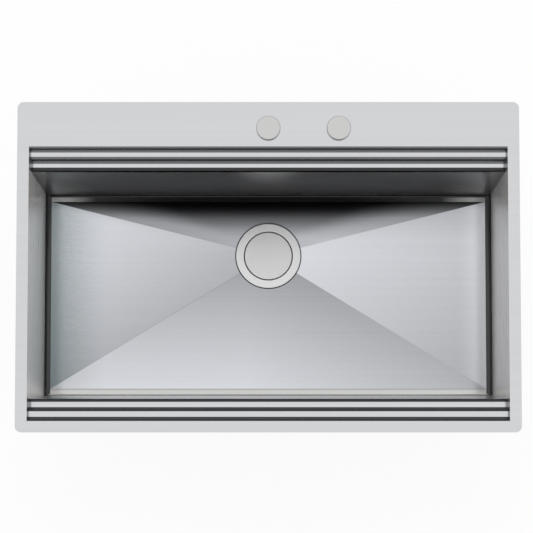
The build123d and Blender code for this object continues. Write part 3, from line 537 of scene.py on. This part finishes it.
# %% [markdown]
# ## The end panels
# The inside of an end panel is more matt than the outside and has a tone of its own, painted light on
# the left panel and painted shade on the right one, which is darker. Beside the ledges, and in the bend at
# the panel's foot, the inside is darkened as painted shade. Two materials could share this out, but both
# sides belong to one solid, so the distance from the panel's middle plane tells them apart.

# %% Inside of the end panels
END_PLANE, END_BEND_TOP = FLOOR_HALF + END_BEND, FLOOR_Z + END_BEND
LEDGE_HALF = 0.1800
# The insides' tones: painted light on the left panel, painted shade on the right one.
LEFT_PAINTED_TONE, RIGHT_PAINTED_TONE, SIDES_FADE = (0.79, 0.77, 0.75), (0.63, 0.615, 0.60), 0.1
PAINTED_TONE_SHARE, PAD_MATT = 0.85, 0.6
# Strengths of the painted shade beside the ledges and in the bends at the panels' feet.
LEDGE_END_SHADE, END_BEND_SHADE = 0.85, 0.95


def end_inside(finish):
    """1 on the side of the end panels that faces the bowl, above the bend at their foot."""
    x, _, z = finish.axes(finish.place())
    return (END_PLANE + HALF_SHEET - abs(x)).step(FINE_EDGE) * (z - END_BEND_TOP).step(SOFT_EDGE)


def ledge_ends(finish):
    """1 beside the ledges, in front of and behind the open bowl."""
    y, z = finish.axes(finish.place())[1:]
    return (abs(y - LEDGE_MIDDLE) - LEDGE_HALF).step(SOFT_EDGE) * (z - LEDGE_FOOT).step(SOFT_EDGE)


def end_bends(finish):
    """1 on the inside of the bend at the foot of each end panel, by the distance from its axis."""
    x, _, z = finish.axes(finish.place())
    out = abs(x) - FLOOR_HALF
    down = z - END_BEND_TOP
    radius = (out * out + down * down) ** 0.5
    return (END_BEND + HALF_SHEET - radius).step(FINE_EDGE) * (END_BEND_TOP - z).step(WIDE_EDGE)


inside = end_inside(end_steel)
on_right_side = end_steel.axes(end_steel.place())[0].step(SIDES_FADE)
# Blends the painted light of the left inside into the painted shade of the right one.
satin = end_steel.tint(on_right_side, LEFT_PAINTED_TONE, RIGHT_PAINTED_TONE)
end_steel.colour = end_steel.tint(PAINTED_TONE_SHARE * inside, end_steel.colour, satin)
end_steel.set(Metallic=1 - PAD_MATT * inside)
end_shade = LEDGE_END_SHADE * inside * ledge_ends(end_steel)
paint_shade(end_steel, end_shade.at_least(END_BEND_SHADE * end_bends(end_steel)))
# Prints the painted tones of the two insides.
print("end panels: satin", LEFT_PAINTED_TONE, "left and", RIGHT_PAINTED_TONE, "right")

# %% [markdown]
# ## Turned steel
# The caps on the tap ledge, the waste ring and its cover are turned on a lathe, so their marks are
# circles. The height of a mark depends only on the distance from the axis (and on z for the rims), which
# is one square root. The caps are bright. The ring and its cover have a soft satin face that scatters
# part of the light, so they are less than fully metallic, and the cover is a little darker than the ring.

# %% Turned steel
MARKS_PER_METRE, TURNED_CLOUDS, TURNED_DEPTH = 2400.0, (30, 30, 30), 1.0e-5
MARK_SHARE, TURNED_CLOUD_SHARE, MARK_GLOSS, SIDE_ROUGH = 0.7, 0.3, 0.05, 0.22
# A dark outline colour painted as shade on the rounding of the turned rim.
TURNED_EDGE_SHADE, EDGE_SHARE, EDGE_WIDTH = (0.2, 0.2, 0.2), 0.75, 0.0008


def edge_of(name):
    """The radius and the height at which the rounding of a turned piece begins."""
    low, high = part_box(name)
    return (high[0] - low[0]) / 2 - EDGE_WIDTH, high[2] - 2 * EDGE_WIDTH


def turned_steel(name, piece, rim, tones, rough, metal):
    """Steel with circular tool marks about the upright axis of a piece. The rounding between the face and
    the side of the rim piece, beyond its edge's radius and above its edge's height, is painted darker as
    shade."""
    finish = Finish(name)
    x, y, z = finish.axes(finish.place(middle=(*middle_of(piece)[:2], 0)))
    radius = (x * x + y * y) ** 0.5
    marks = finish.node(
        "ShaderNodeTexNoise",
        {"noise_dimensions": "1D"},
        {"W": MARKS_PER_METRE * (radius + z), "Scale": 1.0, "Detail": 2.0},
    )
    clouds = finish.noise(finish.place(TURNED_CLOUDS))
    colour = finish.tint(MARK_SHARE * marks + TURNED_CLOUD_SHARE * clouds, *tones)
    edge_radius, edge_height = edge_of(rim)
    above = (z - edge_height).step(FINE_EDGE)
    on_edge = (radius - edge_radius).step(FINE_EDGE) * above
    colour = finish.tint(EDGE_SHARE * on_edge, colour, TURNED_EDGE_SHADE)
    finish.set(Base_Color=colour, Metallic=metal)
    finish.set(Roughness=rough + SIDE_ROUGH * (1 - above) + MARK_GLOSS * marks)
    finish.bump(marks, TURNED_DEPTH)
    return finish.material


WASTE_STEEL = (0.735, 0.737, 0.739), (0.80, 0.802, 0.804)
COVER_STEEL = (0.66, 0.66, 0.66), (0.715, 0.715, 0.715)
CAP_STEEL = (0.545, 0.545, 0.54), (0.64, 0.642, 0.635)
SATIN_FACE, BRIGHT_FACE = {"rough": 0.34, "metal": 0.6}, {"rough": 0.14, "metal": 1.0}
turned_waste = turned_steel("turned_steel_waste", "strainer_cap", "waste_flange", WASTE_STEEL, **SATIN_FACE)
turned_cover = turned_steel("turned_steel_cover", "strainer_cap", "waste_flange", COVER_STEEL, **SATIN_FACE)
turned_cap = turned_steel("turned_steel_cap", "tap_hole_cap", "tap_hole_cap", CAP_STEEL, **BRIGHT_FACE)
turned_knob = turned_steel("turned_steel_knob", "control_knob", "tap_hole_cap", CAP_STEEL, **BRIGHT_FACE)
print("turned about:", [round(c, 4) for c in middle_of("strainer_cap")])

# %% [markdown]
# ## Zinc plate
# Below the worktop nobody polishes. Clips, brackets and screws are bright zinc with a faint mottle of
# crystals. A cell pattern stands for the crystals and shifts tone and height a little, which is enough at
# this size.

# %% Zinc plate
ZINC_DARK, ZINC_LIGHT = (0.44, 0.455, 0.47), (0.66, 0.665, 0.67)
CRYSTALS_PER_METRE, ZINC_CLOUDS, CRYSTAL_DEPTH = 420.0, 60.0, 1.5e-5
ZINC_CLOUD_SHARE, CRYSTAL_SHARE, ZINC_ROUGH, ZINC_SPREAD = 0.6, 0.4, 0.3, 0.18


def zinc_plate(name):
    """Bluish plated steel: a cell pattern of crystals shifts tone and height, and clouds shift the gloss."""
    finish = Finish(name)
    cells = {"Vector": finish.place(), "Scale": CRYSTALS_PER_METRE}
    crystals = finish.node("ShaderNodeTexVoronoi", inputs=cells, output="Distance")
    clouds = finish.noise(finish.place(), ZINC_CLOUDS, FINE_DETAIL)
    colour = finish.tint(ZINC_CLOUD_SHARE * clouds + CRYSTAL_SHARE * crystals, ZINC_DARK, ZINC_LIGHT)
    finish.set(Base_Color=colour, Metallic=1.0, Roughness=ZINC_ROUGH + ZINC_SPREAD * clouds)
    finish.bump(crystals, CRYSTAL_DEPTH)
    return finish.material


plated = zinc_plate("zinc_plate")
print("plating:", plated.name)

# %% [markdown]
# ## Rubber and plastic
# Seals are black rubber with a dull skin, the damping pads are a coarser filled rubber, and the waste
# body is moulded plastic with a fine spark-eroded grain. All of them are one recipe: a colour range, a
# grain, a small bump and a roughness, so one function makes the four from their numbers.

# %% Rubber and plastic
DRIFT_PER_METRE, SPECKLE_SHARE, DRIFT_SHARE, SPECKLE_GLOSS = 35.0, 0.6, 0.4, 0.2


def soft_skin(name, dark, light, grain, depth, rough):
    """Rubber or moulded plastic: grain as noise at a scale per metre, with a slow drift of tone."""
    finish = Finish(name)
    speckle = finish.noise(finish.place(), grain, FINE_DETAIL)
    drift = finish.noise(finish.place(), DRIFT_PER_METRE)
    colour = finish.tint(SPECKLE_SHARE * speckle + DRIFT_SHARE * drift, dark, light)
    finish.set(Base_Color=colour, Roughness=rough + SPECKLE_GLOSS * (speckle - NOISE_MEAN))
    finish.bump(speckle, depth)
    return finish.material


# Each row has the dark and the light colour, the grain per metre, its depth in metres and the roughness.
SOFT_SKINS = {
    "seal_rubber": ((0.015, 0.015, 0.016), (0.05, 0.05, 0.052), 1800, 4e-5, 0.62),
    "damping_rubber": ((0.07, 0.07, 0.075), (0.2, 0.2, 0.21), 700, 2e-4, 0.8),
    "black_plastic": ((0.02, 0.02, 0.022), (0.05, 0.05, 0.054), 2400, 2e-5, 0.45),
    "grey_plastic": ((0.28, 0.29, 0.3), (0.4, 0.41, 0.42), 2400, 2e-5, 0.4),
}
soft = {name: soft_skin(name, *look) for name, look in SOFT_SKINS.items()}
print("rubber and plastic:", list(soft))

# %% [markdown]
# ## Each node its finish
# The record already sorts the pieces by material slot. Most pieces take their slot's finish. A few look
# different within one slot: the bowl and the end walls have their own grain and tones, and each turned
# piece has its own axis. Setting materials by hand would work once, but a table still fits after the
# solids are built again.

# %% Give the finishes to the pieces
by_slot = {
    "brushed_steel": deck_steel.material,
    "bright_steel": turned_waste,
    "plated_steel": plated,
    **soft,
}
by_node = {
    "bowl_wrap": bowl_steel.material,
    "left_end_wall": end_steel.material,
    "right_end_wall": end_steel.material,
    "strainer_cap": turned_cover,
    "tap_hole_cap": turned_cap,
    "control_knob": turned_knob,
}
for piece in frame["record"]["subparts"]:
    name = piece["node"]
    finish = by_node.get(name, by_slot[piece["material_slot"]])
    slots = nodes[name].data.materials
    slots.clear()
    slots.append(finish)

# %% [markdown]
# ## The surface of a screw thread
# The solids keep every thread as a plain cylinder. A thread is a ridge that climbs one pitch in each
# turn, so it is a grid: one parameter goes along the helix, the other across the ridge. The ridge fades
# out at both ends, as a cut thread does. Built this way it needs no boolean and no screw modifier.

# %% Thread surface
FLANK_FOOT, CREST_START = 0.16, 0.42


def thread_grid(foot, root_r, depth, length, pitch, steps):
    """A thread about the vertical through foot. Along the helix the angle a gives the height pitch * a /
    2 pi; across it, the share w from 0 to 1 adds pitch * w, and the radius is root_r plus depth times a
    flat-topped ridge of w, faded to nothing over the first and last half turn."""
    turns = length / pitch - 1
    angle = np.linspace(0, 2 * np.pi * turns, int(steps * turns) + 1)[:, None]
    share = np.array([0, FLANK_FOOT, CREST_START, 1 - CREST_START, 1 - FLANK_FOOT, 1])[None, :]
    from_side = 0.5 - np.abs(share - 0.5)
    ridge = np.clip((from_side - FLANK_FOOT) / (CREST_START - FLANK_FOOT), 0, 1)
    fade = np.clip(np.minimum(angle, angle[-1] - angle) / np.pi, 0, 1)
    radius = root_r + depth * ridge * fade
    x = foot[0] + radius * np.cos(angle)
    y = foot[1] + radius * np.sin(angle)
    z = foot[2] + pitch * (angle / (2 * np.pi) + share)
    return np.stack([x, y, z], axis=-1)


tail_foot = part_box("outlet_tail")[0][2]
TAIL_PLAIN_END = 0.001
outlet = thread_grid(
    (waste_x, waste_y, tail_foot + TAIL_PLAIN_END),
    root_r=0.0239, depth=0.0007, length=0.021, pitch=0.0023, steps=72,
)
print("grid of the outlet's thread:", outlet.shape)

# %% [markdown]
# ## A grid becomes a piece
# A grid of points is a mesh once its cells are named. The corners of all cells come from one array of
# point numbers, shifted by a row or a column, so no loop runs over points. Each thread rides on the
# sink's body and gets the slot of the piece that it is cut into.

# %% From grid to piece


def placed(name, data):
    """An object with this data, at the origin of the scene."""
    made = bpy.data.objects.new(name, data)
    bpy.context.scene.collection.objects.link(made)
    return made


def grid_mesh(name, grids):
    """One mesh of several grids. Each cell is a quad whose corners run so that it faces outwards."""
    points = np.concatenate([grid.reshape(-1, 3) for grid in grids])
    quads = []
    start = 0
    for grid in grids:
        rows, columns = grid.shape[:2]
        index = np.arange(rows * columns).reshape(rows, columns) + start
        corners = [index[:-1, :-1], index[1:, :-1], index[1:, 1:], index[:-1, 1:]]
        quads.append(np.stack(corners, axis=-1).reshape(-1, 4))
        start += rows * columns
    mesh = bpy.data.meshes.new(name)
    mesh.from_pydata(points.tolist(), [], np.concatenate(quads).tolist())
    mesh.polygons.foreach_set("use_smooth", np.ones(len(mesh.polygons), dtype=bool))
    return mesh


def threaded(name, grids, material):
    """A thread piece with its finish and slot, fixed to the sink."""
    piece = placed(name, grid_mesh(name, grids))
    piece.data.materials.append(material)
    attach(piece, "sink")
    print(name, "faces:", len(piece.data.polygons))


threaded("outlet_thread", [outlet], soft["black_plastic"])

# %% [markdown]
# ## The threads of the control and the cap
# Under the tap ledge the control's plastic neck and the cap's steel stud each carry a nut, so they are
# threaded too. Both are the same surface with other sizes, placed by the boxes of their solids.

# %% Neck and stud
knob_x, knob_y = middle_of("control_knob")[:2]
neck_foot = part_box("control_neck")[0][2]
neck = thread_grid(
    (knob_x, knob_y, neck_foot),
    root_r=0.0155, depth=0.00025, length=0.021, pitch=0.0015, steps=64,
)
threaded("neck_thread", [neck], soft["grey_plastic"])

cap_x, cap_y = middle_of("tap_hole_cap")[:2]
stud_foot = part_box("tap_hole_cap")[0][2]
STUD_CHAMFER = 0.0006
stud = thread_grid(
    (cap_x, cap_y, stud_foot + STUD_CHAMFER),
    root_r=0.003, depth=0.00025, length=0.026, pitch=0.001, steps=24,
)
threaded("stud_thread", [stud], turned_cap)

# %% [markdown]
# ## The threads of the clamp screws
# Ten screws hold the sink to the worktop, all in one node. Their places could be typed again, but they
# are in the solid already: points that lie close together in plan belong to one screw.

# %% Clamp screws


def axes_of(name, reach):
    """The foot of each upright piece in a node, by gathering points within reach of one another."""
    mesh = nodes[name].data
    points = np.empty(3 * len(mesh.vertices))
    mesh.vertices.foreach_get("co", points)
    points = points.reshape(-1, 3)
    feet = []
    while len(points):
        near = np.hypot(*(points[:, :2] - points[0, :2]).T) < reach
        low, high = points[near].min(0), points[near].max(0)
        feet.append((*(low[:2] + high[:2]) / 2, low[2]))
        points = points[~near]
    return feet


SCREW_REACH, HEAD_HEIGHT = 0.012, 0.0032
clamp_screws = [
    thread_grid((x, y, z + HEAD_HEIGHT), root_r=0.0025, depth=0.00025, length=0.0185, pitch=0.0008, steps=16)
    for x, y, z in axes_of("fixing_screws", SCREW_REACH)
]
threaded("clamp_screw_threads", clamp_screws, plated)

# %% [markdown]
# ## The studio floor
# The sink stands on a wide pale floor at the height of its lowest piece. The floor keeps the sink's
# shadow, and to the camera it also glows a little, so that it runs into the white background without a
# horizon. Brighter lamps would whiten it too, but they would burn out the steel.

# %% Studio floor
STUDIO_REACH, STUDIO_PALE, STUDIO_ROUGH, GLOW = 6.0, (0.9, 0.9, 0.9, 1), 0.9, 0.9
WHITE = (1, 1, 1, 1)
floor_z = cad_box[0][2]


def flat_mesh(name, corners, finish):
    """A mesh of one flat face with these corners and this finish."""
    mesh = bpy.data.meshes.new(name)
    mesh.from_pydata(corners, [], [tuple(range(len(corners)))])
    mesh.materials.append(finish.material)
    return mesh


pale = Finish("studio_floor")
pale.set(Base_Color=STUDIO_PALE, Roughness=STUDIO_ROUGH)
camera_ray = pale.node("ShaderNodeLightPath", output="Is Camera Ray")
glow = pale.node("ShaderNodeEmission", inputs={"Color": WHITE, "Strength": 1.0})
matt = Num(pale, pale.shader.outputs[0])
pale.surface(pale.node("ShaderNodeMixShader", inputs={0: GLOW * camera_ray, 1: matt, 2: glow}))
corner_signs = (-1, -1), (1, -1), (1, 1), (-1, 1)
floor_corners = [(STUDIO_REACH * a, STUDIO_REACH * b, floor_z) for a, b in corner_signs]
floor = placed("studio_floor", flat_mesh("studio_floor", floor_corners, pale))
print("studio floor at", round(floor_z, 4))

# %% [markdown]
# ## The room and its lamp
# Steel shows its surroundings, so the room is most of its look. It is white to the camera and in
# reflections, and a little dimmer as light on matt surfaces, which keeps the shadows. One large soft lamp
# behind the tap ledge gives the sink its direction of light. Reflections don't show the lamp, because a
# bright square on brushed steel would look like a stain. Deep in the bowl light goes from wall to wall
# many times, so reflections are followed for a dozen bounces.

# %% Room and lamp
AMBIENT, BOUNCES = 0.85, 12
world = bpy.data.worlds.new("studio_room")
bpy.context.scene.world = world
bpy.context.scene.cycles.glossy_bounces = BOUNCES
world.use_nodes = True
room = Tree(world.node_tree)
rays = room.node("ShaderNodeLightPath")
direct, glossy, through = room.outlets(rays, "Is Camera Ray", "Is Glossy Ray", "Is Transmission Ray")
seen = direct.at_least(glossy).at_least(through)
background = world.node_tree.nodes["Background"]
room.feed(background.inputs["Color"], WHITE)
room.feed(background.inputs["Strength"], AMBIENT + (1 - AMBIENT) * seen)


def soft_lamp(name, place, size, watts):
    """A soft square lamp at a place, turned to the middle of the sink."""
    data = bpy.data.lights.new(name, "AREA")
    data.size = size
    data.energy = watts
    lamp = placed(name, data)
    x, y, z = place
    lamp.location = place
    lamp.rotation_euler = (math.atan2(math.hypot(x, y), z), 0, math.atan2(x, -y))
    lamp.visible_glossy = False
    return lamp


key = soft_lamp("softbox_rear", place=(-0.05, 1.6, 2.6), size=1.8, watts=28)
print("lamp", key.name, "at", tuple(round(c, 2) for c in key.location))

# %% [markdown]
# ## Dark cards
# A photographer gives steel its dark side with black cards that stand outside the picture. These are the
# same: flat faces that only reflections see. The first slants high in front of the sink, and the rear
# wall sees it by way of the floor and goes dark. Flat steel that mirrors the room at the first bounce
# should stay bright, so this card is there only for the second and later bounces.

# %% Card in front
SHADE, CLEAR_BOUNCES = 0.01, 1.5


def dark_cloth(name):
    """A matt dark finish for the stage cards."""
    cloth = Finish(name)
    cloth.set(Base_Color=(SHADE, SHADE, SHADE, 1), Roughness=1.0, Specular_IOR_Level=0.0)
    return cloth


def part_clear(cloth, dark):
    """Lets a cloth be seen through where dark is 0."""
    clear = cloth.node("ShaderNodeBsdfTransparent")
    solid = Num(cloth, cloth.shader.outputs[0])
    cloth.surface(cloth.node("ShaderNodeMixShader", inputs={0: dark, 1: clear, 2: solid}))


def stage_card(name, corners, cloth):
    """A flat stage card with these corners, seen by reflections and not by the camera."""
    card = placed(name, flat_mesh(name, corners, cloth))
    card.visible_camera = False
    card.visible_transmission = False
    card.visible_diffuse = False
    card.visible_shadow = False
    return card


def front_card(name, inner, outer, half_width):
    """A dark card that slants down from its inner edge, high in front of the sink, to its outer edge.
    Each edge is a distance forward and a height. It is clear to a ray mirrored once and dark to one
    mirrored more often."""
    edges = (inner, -1), (inner, 1), (outer, 1), (outer, -1)
    corners = [(half_width * end, -out, up) for (out, up), end in edges]
    cloth = dark_cloth(name)
    bounces = cloth.node("ShaderNodeLightPath", output="Glossy Depth")
    part_clear(cloth, (bounces - CLEAR_BOUNCES).step(1.0))
    return stage_card(name, corners, cloth)


front_screen = front_card("dark_front_screen", inner=(0.5, 2.4), outer=(1.5, 1.85), half_width=0.9)
print("card in front:", front_screen.name)

# %% [markdown]
# ## The card in the bowl
# The rear facet goes softly from bright at the waste to black at its foot. A card just below the rim,
# over the rear of the bowl, is what it mirrors. The card grows from clear to dark towards the rear, and a
# sloping line on each side narrows it to a wide triangle. Paint alone could darken the facet too, but it
# would look the same from every side, which steel doesn't. Below the rim the card is hidden from the deck
# and the tap ledge, which stay bright.

# %% Card in the bowl
RISE_SHARE = 0.75
SIDE_SLOPE, SIDE_START, SIDE_FADE, SIDE_MIDDLE = 0.205, 0.03, 0.028, -0.010


def shaded_flag(name, height, front, rear, half_width):
    """A low card over the rear facet that grows from clear at its front edge to dark at its rear edge. On
    each side a line from near the middle of the front edge outwards bounds the dark part softly."""
    edges = (-half_width, front), (half_width, front), (half_width, rear), (-half_width, rear)
    cloth = dark_cloth(name)
    x, y = cloth.axes(cloth.place())[:2]
    rise = (y - front) / (RISE_SHARE * (rear - front))
    inset = (y - front - SIDE_SLOPE * (abs(x - SIDE_MIDDLE) - SIDE_START)) / SIDE_FADE
    part_clear(cloth, rise.at_most(inset).at_least(0.0).at_most(1.0))
    return stage_card(name, [(*corner, height) for corner in edges], cloth)


flag = shaded_flag("dark_flag", height=-0.03, front=0.0785, rear=0.152, half_width=0.36)
print("card in the bowl:", flag.name)

# %% [markdown]
# ## The camera
# The photograph looks down from a little in front of the sink through a long lens, and the rim stays
# almost square in the frame. A camera that looks straight down with a raised lens gives that, and a
# slight tilt takes part of the shift.

# %% Camera
EYE, TILT = (0.0, -0.2803, 2.4627), math.radians(3.3)
LENS_MM, SENSOR_MM, FAR = 106.63, 36.0, 50.0
SHIFT_X, SHIFT_Y = -0.0034, 0.1650
camera_data = bpy.data.cameras.new("photo_camera")
camera_data.sensor_width = SENSOR_MM
camera_data.lens = LENS_MM
camera_data.shift_x = SHIFT_X
camera_data.shift_y = SHIFT_Y
camera_data.clip_end = FAR
camera = placed("photo_camera", camera_data)
camera.location = EYE
camera.rotation_euler = (TILT, 0, 0)
bpy.context.scene.camera = camera
bpy.context.scene.view_settings.view_transform = "Standard"
print("camera", EYE, "lens", LENS_MM)
